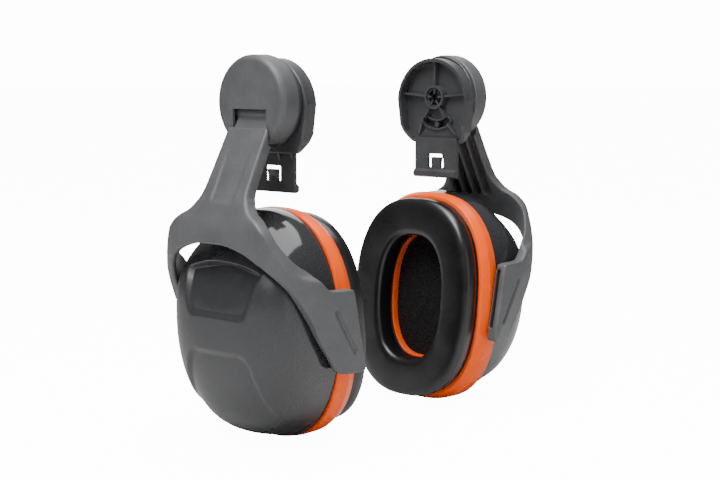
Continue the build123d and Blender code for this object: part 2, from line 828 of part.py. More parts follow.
def cushion_body(inset):
    """Rounded ring of the cushion as (depth, outer, inner) sections, made smaller by inset."""
    rounding = (  # depth from the front, outer pull-in, opening's flare
        (0.0, 5.2, 3.0),
        (0.9, 2.4, 0.9),
        (2.8, 0.5, 0.0),
        (5.3, 0.0, 0.0),
        (8.8, 0.4, 0.0),
        (cushion_depth, 1.4, 0.0),
    )
    outer, inner = [], []
    for depth, pull, flare in rounding:
        share = depth / cushion_depth
        x = cushion_x + inset + (cushion_depth - inset) * share
        plane = lean_plane(x, ring_inner_lean)
        outer.append(oval(plane, cushion_half_y - pull - inset, cushion_half_z - pull - inset))
        inner.append(oval(plane, ear_half_y + flare + inset, ear_half_z + flare + inset))
    with BuildPart() as body:
        loft(sections=outer, ruled=True)
        loft(sections=inner, ruled=True, mode=Mode.SUBTRACT)
    return body.part


with BuildPart() as cushion_cover:
    add(cushion_body(0.0))
    add(cushion_body(1.1), mode=Mode.SUBTRACT)

save(cushion_cover, "cushion_cover")

with BuildPart() as cushion_core:
    add(cushion_body(1.15))

save(cushion_core, "cushion_core")

# ---------- foam insert ----------

with BuildPart() as foam_insert:
    loft(
        sections=[
            oval(lean_plane(ring_inner_x + 6.2, ring_inner_lean), 36.5, 49.6),
            oval(lean_plane(ring_outer_x, ring_outer_lean), 36.5, 49.6),
        ],
        ruled=True,
    )
    loft(
        sections=[
            oval(lean_plane(ring_outer_x, ring_outer_lean), 36.5, 49.6),
            oval(lean_plane(ring_outer_x + 14, 0.0), 34.0, 44.0),
        ],
        ruled=True,
    )

save(foam_insert, "foam_insert")
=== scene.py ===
import math

import bpy
import bmesh
import numpy as np
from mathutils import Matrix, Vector


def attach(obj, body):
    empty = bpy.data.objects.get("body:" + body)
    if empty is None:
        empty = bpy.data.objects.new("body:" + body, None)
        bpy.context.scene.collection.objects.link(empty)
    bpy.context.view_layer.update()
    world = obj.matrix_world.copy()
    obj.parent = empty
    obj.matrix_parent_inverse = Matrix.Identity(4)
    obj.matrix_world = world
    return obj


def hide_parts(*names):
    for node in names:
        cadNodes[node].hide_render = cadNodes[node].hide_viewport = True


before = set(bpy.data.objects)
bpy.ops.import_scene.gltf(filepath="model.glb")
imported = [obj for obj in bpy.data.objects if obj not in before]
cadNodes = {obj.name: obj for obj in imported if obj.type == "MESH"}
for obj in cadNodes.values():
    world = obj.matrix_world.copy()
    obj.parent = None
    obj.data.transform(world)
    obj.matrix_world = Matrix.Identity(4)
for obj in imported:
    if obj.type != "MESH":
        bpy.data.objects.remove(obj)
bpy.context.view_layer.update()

mm = 0.001  # every length below is in millimetres until a mesh is made
sides = (("left", -1), ("right", 1))


# ---- camera, floor and light ----

studio = dict(
    eye=(-597.97, -529.19, 181.98),
    yaw=41.51,  # from +X towards +Y
    pitch=6.5,  # downwards
    lens=78.17,
    paperHex="#dcdcdc",
    seenWhite=14.0,  # how bright the paper and the air behind it look
    ambient=0.19,  # what the white room gives back from all round
)


def aimedAt(obj, target):
    # turns a lamp or a camera so that it looks from its own place to the target
    obj.rotation_euler = (Vector(target) - obj.location).to_track_quat("-Z", "Y").to_euler()


def makeCamera():
    camera = bpy.data.objects.new("studioCamera", bpy.data.cameras.new("studioCamera"))
    bpy.context.scene.collection.objects.link(camera)
    camera.location = Vector(studio["eye"]) * mm
    yaw, pitch = math.radians(studio["yaw"]), math.radians(studio["pitch"])
    ahead = Vector((math.cos(yaw) * math.cos(pitch), math.sin(yaw) * math.cos(pitch), -math.sin(pitch)))
    aimedAt(camera, camera.location + ahead)
    camera.data.lens = studio["lens"]
    camera.data.sensor_width = 36
    camera.data.clip_start = 0.01
    camera.data.clip_end = 20
    bpy.context.scene.camera = camera


# place, target, width, height, power: all seen from the middle of the pair
lamps = dict(
    overhead=dict(place=(0, -50, 900), target=(0, 0, 80), size=(900, 700), watts=11.0),
    keyLeft=dict(place=(-680, -160, 1040), target=(-40, 0, 90), size=(500, 700), watts=18.0),
    frontFill=dict(place=(-150, -1000, 300), target=(0, 0, 80), size=(800, 600), watts=1.8),
    rimRight=dict(place=(700, 500, 400), target=(40, 0, 90), size=(500, 700), watts=2.5),
)


def makeLamps():
    for name, lamp in lamps.items():
        data = bpy.data.lights.new(name, "AREA")
        data.shape = "RECTANGLE"
        data.size, data.size_y = lamp["size"][0] * mm, lamp["size"][1] * mm
        data.energy = lamp["watts"]
        light = bpy.data.objects.new(name, data)
        bpy.context.scene.collection.objects.link(light)
        light.location = Vector(lamp["place"]) * mm
        aimedAt(light, Vector(lamp["target"]) * mm)


# ---- materials ----


def linearColour(hexText):
    # sRGB hex to linear: ((c + 0.055) / 1.055) ^ 2.4, or c / 12.92 near black
    srgb = [int(hexText[i:i + 2], 16) / 255 for i in (1, 3, 5)]
    return tuple(((c + 0.055) / 1.055) ** 2.4 if c > 0.04045 else c / 12.92 for c in srgb) + (1.0,)


def addNode(tree, kind, inputs=None, **settings):
    # adds a node, sets its properties, and sets or links each named input
    node = tree.nodes.new(kind)
    for key, value in settings.items():
        setattr(node, key, value)
    for key, value in (inputs or {}).items():
        if isinstance(value, bpy.types.NodeSocket):
            tree.links.new(value, node.inputs[key])
        else:
            node.inputs[key].default_value = value
    return node


def newMaterial(name):
    material = bpy.data.materials.new(name)
    material.use_nodes = True
    tree = material.node_tree
    shader = tree.nodes["Principled BSDF"]
    place = addNode(tree, "ShaderNodeTexCoord").outputs["Object"]
    return material, tree, shader, place


def mixedColour(tree, factor, first, second):
    ramp = addNode(tree, "ShaderNodeValToRGB", {"Fac": factor})
    ramp.color_ramp.elements[0].color = linearColour(first)
    ramp.color_ramp.elements[1].color = linearColour(second)
    return ramp


def perMetre(sizeMm):
    # noise and cell textures take a frequency: one over the pattern's size
    return 1000.0 / sizeMm


def mouldedPlastic(name, darkHex, lightHex, rough, grainMm=0.75, grainDepthMm=0.05):
    # glass-filled nylon from a spark-eroded mould: an even matt grain with a soft sheen,
    # and a faint mottling from the flow of the melt; the real grain is 0.2 mm, drawn coarser to show
    material, tree, shader, place = newMaterial(name)
    grain = addNode(tree, "ShaderNodeTexNoise", {"Vector": place, "Scale": perMetre(grainMm), "Detail": 3.0})
    mottle = addNode(tree, "ShaderNodeTexNoise", {"Vector": place, "Scale": perMetre(14.0), "Detail": 2.0})
    blend = addNode(tree, "ShaderNodeMath", {0: grain.outputs["Fac"], 1: mottle.outputs["Fac"]}, operation="MULTIPLY")
    colour = mixedColour(tree, blend.outputs["Value"], darkHex, lightHex)
    colour.color_ramp.elements[0].position = 0.12
    colour.color_ramp.elements[1].position = 0.42
    bump = addNode(
        tree, "ShaderNodeBump",
        {"Height": grain.outputs["Fac"], "Strength": 0.35, "Distance": grainDepthMm * mm},
    )
    spread = addNode(
        tree, "ShaderNodeMapRange",
        {"Value": mottle.outputs["Fac"], "From Min": 0.3, "From Max": 0.7,
         "To Min": rough - 0.05, "To Max": rough + 0.05},
    )
    tree.links.new(colour.outputs["Color"], shader.inputs["Base Color"])
    tree.links.new(spread.outputs["Result"], shader.inputs["Roughness"])
    tree.links.new(bump.outputs["Normal"], shader.inputs["Normal"])
    shader.inputs["IOR"].default_value = 1.5
    return material


def cupPlastic(name):
    # ABS: the face comes from a grained part of the mould and the flanks from a polished one;
    # the vertex attribute "gloss" says which, from 0 on the face to 1 on the flank
    material, tree, shader, place = newMaterial(name)
    gloss = addNode(tree, "ShaderNodeAttribute", attribute_name="gloss").outputs["Fac"]
    grain = addNode(tree, "ShaderNodeTexNoise", {"Vector": place, "Scale": perMetre(0.7), "Detail": 3.0})
    colour = mixedColour(tree, grain.outputs["Fac"], "#242527", "#2c2d2f")
    colour.color_ramp.elements[0].position = 0.35
    colour.color_ramp.elements[1].position = 0.65
    rough = addNode(
        tree, "ShaderNodeMapRange",
        {"Value": gloss, "From Min": 0.0, "From Max": 1.0, "To Min": 0.38, "To Max": 0.1},
    )
    depth = addNode(
        tree, "ShaderNodeMapRange",
        {"Value": gloss, "From Min": 0.0, "From Max": 1.0, "To Min": 0.3, "To Max": 0.0},
    )
    bump = addNode(
        tree, "ShaderNodeBump",
        {"Height": grain.outputs["Fac"], "Strength": depth.outputs["Result"], "Distance": 0.04 * mm},
    )
    tree.links.new(colour.outputs["Color"], shader.inputs["Base Color"])
    tree.links.new(rough.outputs["Result"], shader.inputs["Roughness"])
    tree.links.new(bump.outputs["Normal"], shader.inputs["Normal"])
    shader.inputs["IOR"].default_value = 1.54
    return material


def glossyAbs(name):
    # through-dyed ABS from a polished mould: bright orange with a slight ripple in the gloss
    material, tree, shader, place = newMaterial(name)
    ripple = addNode(tree, "ShaderNodeTexNoise", {"Vector": place, "Scale": perMetre(9.0), "Detail": 1.0})
    colour = mixedColour(tree, ripple.outputs["Fac"], "#ea4a00", "#f65c00")
    bump = addNode(
        tree, "ShaderNodeBump",
        {"Height": ripple.outputs["Fac"], "Strength": 0.12, "Distance": 0.2 * mm},
    )
    rough = addNode(
        tree, "ShaderNodeMapRange",
        {"Value": ripple.outputs["Fac"], "From Min": 0.3, "From Max": 0.7, "To Min": 0.2, "To Max": 0.28},
    )
    tree.links.new(colour.outputs["Color"], shader.inputs["Base Color"])
    tree.links.new(rough.outputs["Result"], shader.inputs["Roughness"])
    tree.links.new(bump.outputs["Normal"], shader.inputs["Normal"])
    shader.inputs["IOR"].default_value = 1.54
    shader.inputs["Specular IOR Level"].default_value = 0.14
    return material


def softVinyl(name):
    # thin PVC film, vacuum-formed over foam: smooth, half glossy, with a fine leathery grain
    material, tree, shader, place = newMaterial(name)
    grain = addNode(
        tree, "ShaderNodeTexVoronoi", {"Vector": place, "Scale": perMetre(1.1)}, feature="SMOOTH_F1",
    )
    waves = addNode(tree, "ShaderNodeTexNoise", {"Vector": place, "Scale": perMetre(11.0), "Detail": 2.0})
    colour = mixedColour(tree, waves.outputs["Fac"], "#0a0a0b", "#101011")
    fine = addNode(
        tree, "ShaderNodeBump",
        {"Height": grain.outputs["Distance"], "Strength": 0.12, "Distance": 0.05 * mm},
    )
    bump = addNode(
        tree, "ShaderNodeBump",
        {"Height": waves.outputs["Fac"], "Strength": 0.25, "Distance": 0.5 * mm, "Normal": fine.outputs["Normal"]},
    )
    rough = addNode(
        tree, "ShaderNodeMapRange",
        {"Value": waves.outputs["Fac"], "From Min": 0.3, "From Max": 0.7, "To Min": 0.27, "To Max": 0.36},
    )
    tree.links.new(colour.outputs["Color"], shader.inputs["Base Color"])
    tree.links.new(rough.outputs["Result"], shader.inputs["Roughness"])
    tree.links.new(bump.outputs["Normal"], shader.inputs["Normal"])
    shader.inputs["IOR"].default_value = 1.53
    return material


def cellFoam(name):
    # open-cell polyurethane foam: cut cells about 0.5 mm wide, drawn at 0.9 mm so that they show
    material, tree, shader, place = newMaterial(name)
    cells = addNode(tree, "ShaderNodeTexVoronoi", {"Vector": place, "Scale": perMetre(0.9), "Randomness": 1.0})
    fibres = addNode(tree, "ShaderNodeTexNoise", {"Vector": place, "Scale": perMetre(0.6), "Detail": 4.0})
    colour = mixedColour(tree, fibres.outputs["Fac"], "#050505", "#222222")
    colour.color_ramp.elements[0].position = 0.45
    colour.color_ramp.elements[1].position = 0.72
    bump = addNode(
        tree, "ShaderNodeBump",
        {"Height": cells.outputs["Distance"], "Strength": 1.0, "Distance": 0.5 * mm},
    )
    tree.links.new(colour.outputs["Color"], shader.inputs["Base Color"])
    tree.links.new(bump.outputs["Normal"], shader.inputs["Normal"])
    shader.inputs["Roughness"].default_value = 0.9
    shader.inputs["Specular IOR Level"].default_value = 0.25
    return material


def turnedSteel(name, darkHex, lightHex):
    # turned or stamped steel, zinc-plated bright or oxidised black: fine scratches along the part
    material, tree, shader, place = newMaterial(name)
    stretched = addNode(tree, "ShaderNodeMapping", {"Vector": place, "Scale": (1.0, 0.08, 1.0)})
    scratch = addNode(
        tree, "ShaderNodeTexNoise",
        {"Vector": stretched.outputs["Vector"], "Scale": perMetre(0.25), "Detail": 3.0},
    )
    colour = mixedColour(tree, scratch.outputs["Fac"], darkHex, lightHex)
    rough = addNode(
        tree, "ShaderNodeMapRange",
        {"Value": scratch.outputs["Fac"], "From Min": 0.3, "From Max": 0.7, "To Min": 0.25, "To Max": 0.45},
    )
    tree.links.new(colour.outputs["Color"], shader.inputs["Base Color"])
    tree.links.new(rough.outputs["Result"], shader.inputs["Roughness"])
    shader.inputs["Metallic"].default_value = 1.0
    return material


finishes = dict(
    armNylon=mouldedPlastic("grainedNylonArm", "#434446", "#4f5052", 0.5),
    mountNylon=mouldedPlastic("satinNylonMount", "#2f3032", "#3a3b3d", 0.42, 0.6, 0.03),
    shoeAcetal=mouldedPlastic("acetalShoe", "#1b1b1c", "#272728", 0.35, 0.6, 0.02),
    cupAbs=cupPlastic("twoGlossAbs"),
    ringAbs=glossyAbs("orangeAbs"),
    vinyl=softVinyl("pvcCushionFilm"),
    foam=cellFoam("openCellFoam"),
    steel=turnedSteel("zincSteel", "#9b9ca0", "#c4c5c8"),
    screwSteel=turnedSteel("blackOxideSteel", "#262628", "#38383b"),
)
print("materials made")


# ---- mesh tools ----


def turnsOf(count):
    return np.linspace(0, 2 * np.pi, count, endpoint=False)


def leaningLoops(rows, angles):
    # each row (x, lean, half y, half z, middle z, power) is a superellipse, |y/a|^p + |z/b|^p = 1,
    # in a plane through (x, 0, middle z) that moves outward by lean for each unit of height
    x, lean, halfY, halfZ, middle, power = (np.asarray(rows, float)[:, i:i + 1] for i in range(6))
    c, s = np.cos(angles), np.sin(angles)
    across = halfY * np.sign(c) * np.abs(c) ** (2 / power)
    up = halfZ * np.sign(s) * np.abs(s) ** (2 / power)
    stretch = np.sqrt(1 + lean ** 2)
    return np.stack([x + lean * up / stretch, across, middle + up / stretch], -1)


def roundedRows(rows, radii, steps=5):
    # a closed or open profile of rows with each corner replaced by a quadratic curve,
    # which leaves and joins the straight runs a radius away from the corner
    rows = np.asarray(rows, float)
    made = []
    for i, radius in enumerate(radii):
        corner, before, after = rows[i], rows[i - 1], rows[(i + 1) % len(rows)]
        toBefore = min(0.48, radius / max(np.linalg.norm((before - corner)[[0, 2]]), 1e-6))
        toAfter = min(0.48, radius / max(np.linalg.norm((after - corner)[[0, 2]]), 1e-6))
        start = corner + (before - corner) * toBefore
        end = corner + (after - corner) * toAfter
        t = np.linspace(0, 1, steps)[:, None]
        made.append((1 - t) ** 2 * start + 2 * t * (1 - t) * corner + t ** 2 * end)
    return np.concatenate(made)


def gridFaces(rowCount, columnCount, closeRows, closeColumns):
    rows = np.arange(rowCount if closeRows else rowCount - 1)
    columns = np.arange(columnCount if closeColumns else columnCount - 1)
    r, c = np.meshgrid(rows, columns, indexing="ij")
    nextR, nextC = (r + 1) % rowCount, (c + 1) % columnCount
    corners = [r * columnCount + c, nextR * columnCount + c, nextR * columnCount + nextC, r * columnCount + nextC]
    return np.stack(corners, -1).reshape(-1, 4)


def meshFromArrays(name, points, quads, triangles=None, hand=1, smooth=True):
    # points in millimetres for the right cup; hand -1 mirrors them about x = 0
    mesh = bpy.data.meshes.new(name)
    place = np.asarray(points, float).reshape(-1, 3) * (hand * mm, mm, mm)
    faces = [tuple(f) for f in np.asarray(quads).tolist()]
    if triangles is not None:
        faces += [tuple(f) for f in np.asarray(triangles).tolist()]
    mesh.from_pydata(place.tolist(), [], faces)
    mesh.validate()
    shape = bmesh.new()
    shape.from_mesh(mesh)
    bmesh.ops.recalc_face_normals(shape, faces=shape.faces)
    shape.to_mesh(mesh)
    shape.free()
    mesh.polygons.foreach_set("use_smooth", np.full(len(mesh.polygons), smooth))
    mesh.update()
    piece = bpy.data.objects.new(name, mesh)
    bpy.context.scene.collection.objects.link(piece)
    return piece


def closedRing(name, loops, hand):
    # loops is a closed profile of closed loops, so the surface is a torus with no ends
    count, around = loops.shape[:2]
    return meshFromArrays(name, loops, gridFaces(count, around, True, True), hand=hand)


def cappedLoops(name, loops, hand):
    # an open stack of loops whose two ends are closed by fans to their middles
    count, around = loops.shape[:2]
    points = np.concatenate([loops.reshape(-1, 3), loops[0].mean(0)[None], loops[-1].mean(0)[None]])
    first, last = count * around, count * around + 1
    ring = np.arange(around)
    following = (ring + 1) % around
    fans = np.concatenate([
        np.stack([np.full(around, first), ring, following], -1),
        np.stack([np.full(around, last), (count - 1) * around + following, (count - 1) * around + ring], -1),
    ])
    return meshFromArrays(name, points, gridFaces(count, around, False, True), fans, hand)


def finishPiece(piece, body, slot, material, *stoodFor):
    piece.data.materials.clear()
    piece.data.materials.append(material)
    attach(piece, body)
    if stoodFor:
        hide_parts(*stoodFor)
    return piece


def easeStep(value):
    t = np.clip(value, 0, 1)
    return t * t * (3 - 2 * t)


def softMax(a, b, blend):
    # the larger of two distances, with the corner between them rounded over blend
    h = np.clip(0.5 + 0.5 * (a - b) / blend, 0, 1)
    return b * (1 - h) + a * h + blend * h * (1 - h)


# ---- cup shell ----

ring = dict(
    innerX=49.4, outerX=62.0, innerLean=0.094, outerLean=0.017,
    faceHalf=(40.3, 53.9), outerHalf=(42.3, 55.8), drop=1.0, middle=56.8, power=2.5,
)
cup = dict(
    depth=40.4, half=(41.67, 55.95), outline=2.25, sidePower=3.69, crownPower=2.1, rise=0.186, wall=2.6,
    pocketBottom=62.5, pocketTop=89.6, pocketSag=4.6, pocketBevel=3.4, pocketStep=1.5, scoop=4.2,
    recessTop=48.0, recessBevel=3.6, recessDepth=1.5,
    around=260, outerRings=290, innerRings=50, tiltAxisX=65.5,
)


def domeSurface(inset, ringCount, around):
    # superellipsoid: at a share s of the depth the section shrinks by (1 - s^p)^(1/p), where the
    # power p is smaller towards the crown, and it drifts upward in proportion to the depth
    depth = cup["depth"] - inset
    arc = np.linspace(0, np.pi / 2, 4000)
    trial = np.stack([np.cos(arc) ** (2 / 3.0) * 45, np.sin(arc) ** (2 / 3.0) * 40], -1)
    run = np.concatenate([[0], np.cumsum(np.linalg.norm(np.diff(trial, axis=0), axis=1))])
    phi = np.interp(np.linspace(0, run[-1], ringCount + 1)[:-1], run, arc)[:, None]
    t = turnsOf(around)[None, :]
    c, s = np.cos(t), np.sin(t)
    crown = easeStep((s - 0.1) / 0.8)
    power = cup["sidePower"] + (cup["crownPower"] - cup["sidePower"]) * crown
    share = np.sin(phi) ** (2 / power)
    shrink = np.cos(phi) ** (2 / power)
    across = shrink * (cup["half"][0] - inset) * np.sign(c) * np.abs(c) ** (2 / cup["outline"])
    up = shrink * (cup["half"][1] - inset) * np.sign(s) * np.abs(s) ** (2 / cup["outline"])
    up = up + cup["rise"] * share * depth
    lean = ring["outerLean"] * (1 - share)
    x = ring["outerX"] + share * depth + lean * up
    return np.stack([x, across, ring["middle"] - ring["drop"] + up], -1)


def outwardNormals(points):
    # cross product of the two grid directions, turned away from the cup's middle
    down = np.gradient(points, axis=0)
    round_ = (np.roll(points, -1, axis=1) - np.roll(points, 1, axis=1)) / 2
    normal = np.cross(down, round_)
    normal /= np.linalg.norm(normal, axis=-1, keepdims=True) + 1e-12
    away = points - np.array([68.0, 0.0, ring["middle"] + 2])
    return normal * np.sign((normal * away).sum(-1, keepdims=True))


def pocketDepth(y, z):
    # finger pocket: a bevelled outline that widens upward, with a floor scooped out under its lip
    halfWidth = np.interp(z, [62, 67, 72, 80, 86, 92], [20.0, 21.0, 22.3, 23.6, 25.5, 27.5])
    top = cup["pocketTop"] - cup["pocketSag"] * (y / 25) ** 2
    inside = softMax(np.abs(y) - halfWidth, cup["pocketBottom"] - z, 5.0)
    step = easeStep(-inside / cup["pocketBevel"])
    lip = easeStep((top - z) / 1.3)
    height = np.clip((z - 66) / (top - 66), 0, 1)
    scoop = cup["scoop"] * height ** 1.3 * np.clip(1 - (y / 26) ** 2, 0, 1)
    return step * lip * (cup["pocketStep"] + scoop)


def recessDepth(y, z):
    # lower recess: bevelled on top and down both sides, open towards the seal ring below
    halfWidth = np.interp(z, [0, 16, 24, 31.6, 40.8, 46], [28.5, 27.6, 26.3, 25.0, 22.3, 19.0])
    inside = softMax(np.abs(y) - halfWidth, z - cup["recessTop"], 4.0)
    bevel = cup["recessBevel"] + 1.4 * easeStep((24 - z) / 12)
    depth = cup["recessDepth"] * (0.45 + 0.55 * easeStep((z - 6) / 24))
    return depth * easeStep(-inside / bevel)


def makeCupShell(side, hand):
    around = cup["around"]
    outer = domeSurface(0.0, cup["outerRings"], around)
    normal = outwardNormals(outer)
    y, z = outer[..., 1], outer[..., 2]
    facing = easeStep((normal[..., 0] - 0.1) / 0.3)
    nearRing = easeStep((outer[..., 0] - 63.5) / 2.0)
    depth = pocketDepth(y, z) * easeStep((outer[..., 0] - 80) / 6) + recessDepth(y, z) * nearRing
    outer = outer - normal * depth[..., None]
    inner = domeSurface(cup["wall"] + 2.0, cup["innerRings"], around)
    rim = leaningLoops(
        [(ring["outerX"] - 5.0, ring["outerLean"], 39.6, 53.0, ring["middle"] - ring["drop"], 2.3),
         (ring["outerX"] - 5.0, ring["outerLean"], 37.0, 50.4, ring["middle"] - ring["drop"], 2.3)],
        turnsOf(around),
    )
    loops = np.concatenate([outer[::-1], rim, inner])
    piece = cappedLoops(side + "CupShell", loops, hand)
    gloss = np.zeros(len(piece.data.vertices), np.float32)
    base = 1 - easeStep((normal[..., 0] - 0.30) / 0.12)
    crownward = easeStep((z - (cup["pocketTop"] - cup["pocketSag"] * (y / 25) ** 2) + 0.4) / 1.2)
    shine = np.maximum(base, crownward)
    gloss[:shine.size] = shine[::-1].ravel()
    piece.data.attributes.new("gloss", "FLOAT", "POINT").data.foreach_set("value", gloss)
    return finishPiece(piece, side + "_cup", "shell_plastic", finishes["cupAbs"], side + "_cup_shell")


def makeTrunnions(side, hand):
    # stepped round bosses on both sides of the cup, turned profile carried round the tilt axis
    profile = np.array([
        (37.5, 3.6), (42.3, 3.2), (42.75, 3.0), (42.9, 2.5), (43.0, 2.0), (45.2, 2.0), (45.6, 1.7), (45.7, 1.2),
    ])
    turn = turnsOf(40)
    for name, way in (("Front", -1), ("Rear", 1)):
        reach, radius = profile[:, :1], profile[:, 1:]
        loops = np.stack([
            cup["tiltAxisX"] + radius * np.cos(turn), way * reach + 0 * turn, ring["middle"] + radius * np.sin(turn),
        ], -1)
        piece = cappedLoops(side + "Trunnion" + name, loops, hand)
        finishPiece(piece, side + "_cup", "shell_plastic", finishes["cupAbs"])


# ---- seal ring ----


def bandRow(share, grow, drop=0.0):
    # row of the ring's outer band: share runs from the head side to the cup side
    return (
        ring["innerX"] + share * (ring["outerX"] - ring["innerX"]) + drop,
        ring["innerLean"] + share * (ring["outerLean"] - ring["innerLean"]),
        ring["faceHalf"][0] + share * (ring["outerHalf"][0] - ring["faceHalf"][0]) + grow,
        ring["faceHalf"][1] + share * (ring["outerHalf"][1] - ring["faceHalf"][1]) + grow,
        ring["middle"] - share * ring["drop"],
        ring["power"],
    )


def headRow(depth, halfY, halfZ):
    # row in a plane parallel to the cushion's front, a depth out from the ring's head side
    return (ring["innerX"] + depth, ring["innerLean"], halfY, halfZ, ring["middle"], ring["power"])


def makeSealRing(side, hand):
    corners = [
        (bandRow(0.0, -0.2), 0.25), (bandRow(0.05, 0.3), 0.3), (bandRow(0.44, 1.3), 0.4), (bandRow(0.94, 0.0), 0.3),
        (bandRow(1.0, -0.5), 0.2),
        (bandRow(1.0, -2.6), 0.2), (headRow(6.0, 36.6, 50.2), 0.3), (headRow(6.0, 20.5, 33.0), 0.6),
        (headRow(1.4, 20.5, 33.0), 0.5), (headRow(1.4, 21.9, 34.4), 0.5), (headRow(3.45, 21.9, 34.4), 0.2),
        (headRow(3.45, 38.1, 51.7), 0.2), (headRow(0.0, 38.1, 51.7), 0.2),
    ]
    rows = roundedRows([row for row, _ in corners], [radius for _, radius in corners])
    piece = closedRing(side + "SealRing", leaningLoops(rows, turnsOf(300)), hand)
    return finishPiece(piece, side + "_cup", "ring_plastic", finishes["ringAbs"], side + "_seal_ring")


# ---- ear cushion and foam ----

cushion = dict(
    frontX=38.7, half=(39.3, 52.8), opening=(20.5, 33.0), outerRound=6.0, innerRound=3.4, crown=0.5,
)


def makeCushion(side, hand):
    # closed profile: crowned front, rounded sides, and a pinched weld at the back
    depth = cushion["frontX"] - ring["innerX"]
    outY, outZ = cushion["half"]
    inY, inZ = cushion["opening"]
    corners = [
        (headRow(depth, outY - 0.3, outZ - 0.3), cushion["outerRound"]),
        (headRow(depth + 5.4, outY + 0.3, outZ + 0.3), 2.5),
        (headRow(-1.5, outY - 0.6, outZ - 0.6), 1.0),
        (headRow(-0.95, outY - 1.5, outZ - 1.5), 0.3),
        (headRow(-0.75, outY - 0.5, outZ - 0.5), 0.2),
        (headRow(-0.15, outY - 0.5, outZ - 0.5), 0.2),
        (headRow(-0.1, outY - 6, outZ - 6), 1.0),
        (headRow(-0.1, inY + 2, inZ + 2), 1.0),
        (headRow(-0.1, inY + 0.1, inZ + 0.1), 0.4),
        (headRow(depth + 5.0, inY - 0.1, inZ - 0.1), 2.5),
        (headRow(depth, inY + 0.6, inZ + 0.6), cushion["innerRound"]),
    ]
    rows = roundedRows([row for row, _ in corners], [radius for _, radius in corners], 9)
    angles = turnsOf(320)
    loops = leaningLoops(rows, angles)
    # the front swells between its two rounded edges, and the film relaxes a little unevenly
    width = (rows[:, 2] - inY) / (outY - inY)
    front = np.clip(1 - (rows[:, 0] - cushion["frontX"]) / 1.5, 0, 1)
    swell = cushion["crown"] * front * np.clip(4 * width * (1 - width), 0, 1)
    sag = 0.10 * np.sin(3 * angles + 0.7) + 0.07 * np.sin(7 * angles + 2.1) + 0.04 * np.sin(13 * angles)
    loops[..., 0] -= swell[:, None] * (1 + 0.5 * sag[None, :]) + front[:, None] * 0.6 * sag[None, :]
    piece = closedRing(side + "EarCushion", loops, hand)
    finishPiece(
        piece, side + "_cup", "cushion_skin", finishes["vinyl"], side + "_cushion_cover", side + "_cushion_core",
    )
    return piece


foam = dict(front=5.9, half=(36.4, 49.4), unevenness=0.22, edgeDrop=2.2)


def makeFoam(side, hand):
    # cut block: a softly uneven face, height = sum of slow sines, and rounded edges
    angles = turnsOf(200)
    inward = np.linspace(0, 1, 46)[1:][::-1]
    face = [headRow(foam["front"], foam["half"][0] * k, foam["half"][1] * k) for k in inward]
    back = [headRow(13.0, 36.2, 49.0), headRow(14.2, 35.0, 48.0), headRow(24.0, 33.0, 43.5), headRow(25.0, 30.0, 40.0)]
    loops = leaningLoops(face[::-1] + back, angles)
    flat = loops[:len(face)]
    y, z = flat[..., 1], flat[..., 2] - ring["middle"]
    edge = easeStep((np.hypot(y / foam["half"][0], z / foam["half"][1]) - 0.86) / 0.16)
    uneven = foam["unevenness"] * np.sin(y / 3.1 + 1.3) * np.sin(z / 3.7) + 0.12 * np.sin(y / 1.3 + z / 1.7)
    flat[..., 0] += uneven + foam["edgeDrop"] * edge - 0.5 * np.exp(-(y / 17) ** 2 - (z / 26) ** 2)
    piece = cappedLoops(side + "FoamInsert", loops, hand)
    finishPiece(piece, side + "_cup", "foam", finishes["foam"], side + "_foam_insert")
    return piece


# ---- yoke arm: a field of distances, negative inside, turned into a surface ----

yoke = dict(
    step=0.56, hub=163.1, hinge=(72.9, 158.1), slope=27.9, faceOut=3.05, faceIn=-3.25,
    root=60.0, outer=(46.5, 49.5, 3.0), inner=(42.6, 43.2, 3.3),
    neckHalf=10.85, capReach=24.0, capFront=79.5, edgeRound=1.5,
    panelDepth=0.6, neckSunk=1.5, ribDepth=3.7, leanAngle=14.04, trunnion=(65.5, 56.8),
    hollows=(-10.1, -3.4, 3.4, 10.1), hollowHalf=2.55, hollowMiddle=33, hollowReach=21.5,
    pegs=(-13.8, -4.6, 4.6, 13.8), pegRadius=1.7, pegAlong=58,
    barrelRadius=3.6, boreRadius=1.9, neckLength=26,
    foldTop=(78.0, -85.7), foldFoot=(51.2, -126.2), foldBevel=0.24,
    grooveTop=(71.2, -96.0), grooveFoot=(58.3, -116.4), grooveHalf=1.2, grooveDepth=1.3,
    trackPlane=45.1, trackHalf=1.15, tiltSlot=(-5.0, 3.0), tiltSlotHalf=2.35,
)
# outlines, with heights counted from the swivel axis
stemOutline = [(13.2, 4), (13.9, -24), (14.7, -40), (16.6, -45.6), (20.5, -50.2), (26.5, -53.6), (32.0, -58.8),
               (36.8, -66.8), (42.6, -77.0), (51.5, -88.4), (51.5, -130)]
archOutline = [(42.0, -130), (40.2, -106), (38.4, -88), (34.6, -80.3), (29.0, -73.8), (21.5, -68.8), (11.0, -65.6),
               (0, -65.0)]
armOutline = [(106.6, -62), (106.2, -68.5), (101.1, -75.6), (95.6, -82.2), (91.0, -88.8), (84.4, -99.9), (77.9, -111.2),
              (71.4, -120.2), (68.6, -124.4), (64.5, -126.4), (53.5, -126.4), (51.2, -123.6), (55.2, -105),
              (58.6, -89.0), (61.6, -86.4), (73.0, -85.9), (77.0, -84.0), (82.0, -77.5), (88.0, -68.0), (94.0, -56.0)]


